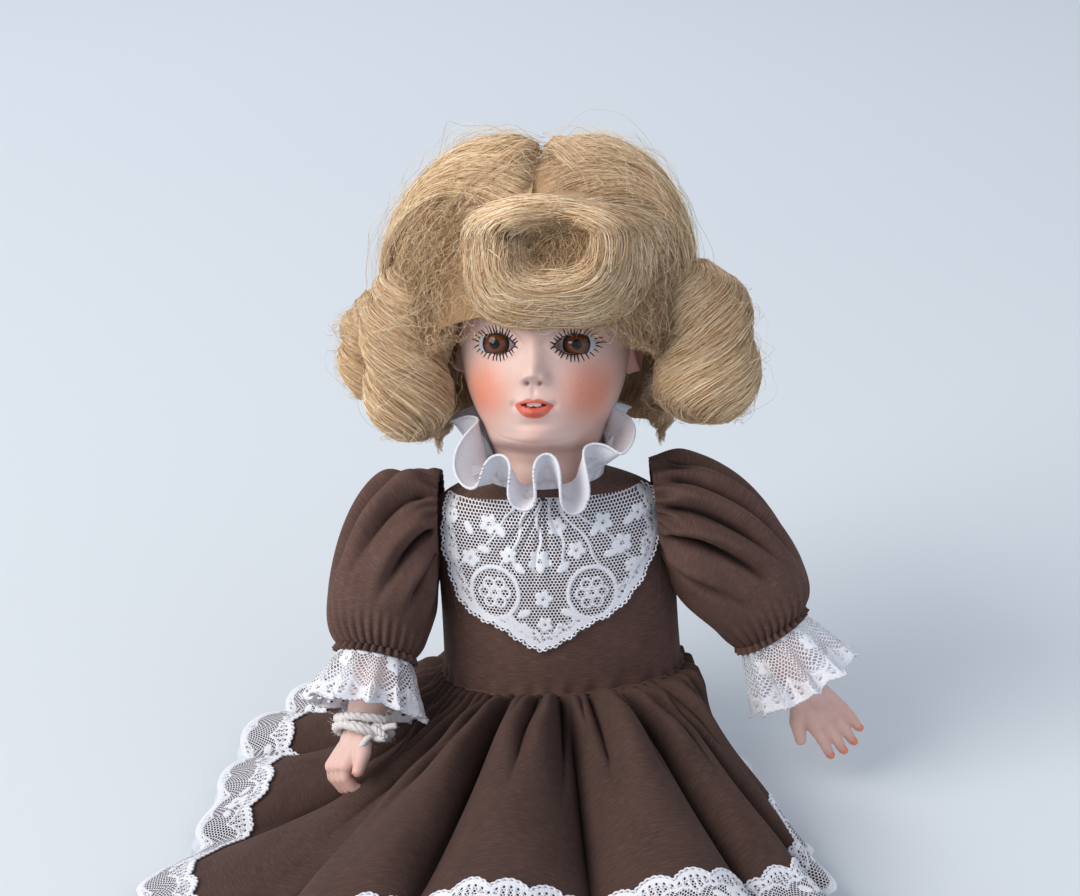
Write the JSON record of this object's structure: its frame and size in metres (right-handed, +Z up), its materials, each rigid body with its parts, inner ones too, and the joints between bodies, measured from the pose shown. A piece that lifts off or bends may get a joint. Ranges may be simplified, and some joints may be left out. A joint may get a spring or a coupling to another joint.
{
  "type": "porcelain doll",
  "caption": "Seated bisque-headed doll with glass eyes, ringlet wig, brown cotton dress and lace trim; head, arms and legs are strung and turn on their joints.",
  "frame": {"origin": "on the floor, on the flat seat of the drawers just behind the hip joints", "axes": "+Z up, the face and the legs towards -Y, the doll's left hand towards +X"},
  "size_m": [0.2343, 0.2291, 0.2197],
  "materials": {
    "bisque": "matte painted bisque",
    "eye_glass": "polished",
    "plaster": "rough",
    "enamel": "glossy",
    "cork": "rough",
    "net": "open net",
    "mohair": "combed, soft sheen",
    "wood": "turned",
    "wire": "drawn wire",
    "composition": "painted, satin",
    "elastic": "covered cord",
    "batiste": "fine plain weave",
    "cotton": "plain weave, matte",
    "lace": "net with raised motifs",
    "yarn": "fluffy",
    "leather": "polished"
  },
  "bodies": {
    "head": {"head": "bisque", "eye_right": "eye_glass", "eye_left": "eye_glass", "eye_plaster": "plaster", "teeth": "enamel", "pate": "cork", "wig_cap": "net", "hair_left": "mohair", "hair_right": "mohair", "bangs": "mohair", "ringlet_right": "mohair", "ringlet_right_outer": "mohair", "ringlet_left": "mohair", "tail_curl_right": "mohair", "tail_curl_left": "mohair"},
    "neck": {"neck_plug": "wood", "neck_hook": "wire"},
    "torso": {"torso": "composition", "arm_elastic": "elastic", "leg_elastic": "elastic", "neck_spring": "wire", "spring_pin": "wire", "drawers": "batiste", "bodice": "cotton", "bib": "lace", "collar": "lace", "skirt": "cotton", "petticoat": "batiste", "hem_lace": "lace", "snap_1": "wire", "snap_2": "wire", "snap_3": "wire"},
    "right_arm": {"arm_right": "bisque", "arm_hook_right": "wire", "sleeve_right": "cotton", "sleeve_elastic_right": "elastic", "cuff_right": "lace", "wrist_yarn": "yarn"},
    "left_arm": {"arm_left": "bisque", "arm_hook_left": "wire", "sleeve_left": "cotton", "sleeve_elastic_left": "elastic", "cuff_left": "lace"},
    "right_leg": {"leg_right": "bisque", "leg_hook_right": "wire", "stocking_right": "batiste", "shoe_right": "leather", "shoe_strap_right": "leather"},
    "left_leg": {"leg_left": "bisque", "leg_hook_left": "wire", "stocking_left": "batiste", "shoe_left": "leather", "shoe_strap_left": "leather"}
  },
  "joints": [
    {"name": "neck_nod", "type": "hinge", "parent": "torso", "child": "neck", "pos_m": [0.00024, 0.0035, 0.10938], "axis": [1, -0.009, 0.0017], "range_deg": [-6, 8], "deforming": ["neck_spring"]},
    {"name": "neck_turn", "type": "hinge", "parent": "neck", "child": "head", "pos_m": [0.00024, 0.0035, 0.10938], "axis": [0.0008, 0.2754, 0.9613], "range_deg": [-45, 45]},
    {"name": "right_shoulder", "type": "hinge", "parent": "torso", "child": "right_arm", "pos_m": [-0.04696, 0.00178, 0.09298], "axis": [-0.9986, -0.0055, -0.052], "range_deg": [0, 70], "deforming": ["arm_elastic"]},
    {"name": "left_shoulder", "type": "hinge", "parent": "torso", "child": "left_arm", "pos_m": [0.0489, 0.0023, 0.09797], "axis": [-0.9986, -0.0055, -0.052], "range_deg": [-30, 80], "deforming": ["arm_elastic"]},
    {"name": "right_hip", "type": "hinge", "parent": "torso", "child": "right_leg", "pos_m": [-0.012, -0.012, 0.014], "axis": [1, 0, 0], "range_deg": [0, 85], "deforming": ["leg_elastic"]},
    {"name": "left_hip", "type": "hinge", "parent": "torso", "child": "left_leg", "pos_m": [0.022, -0.012, 0.014], "axis": [1, 0, 0], "range_deg": [0, 85], "deforming": ["leg_elastic"]}
  ]
}
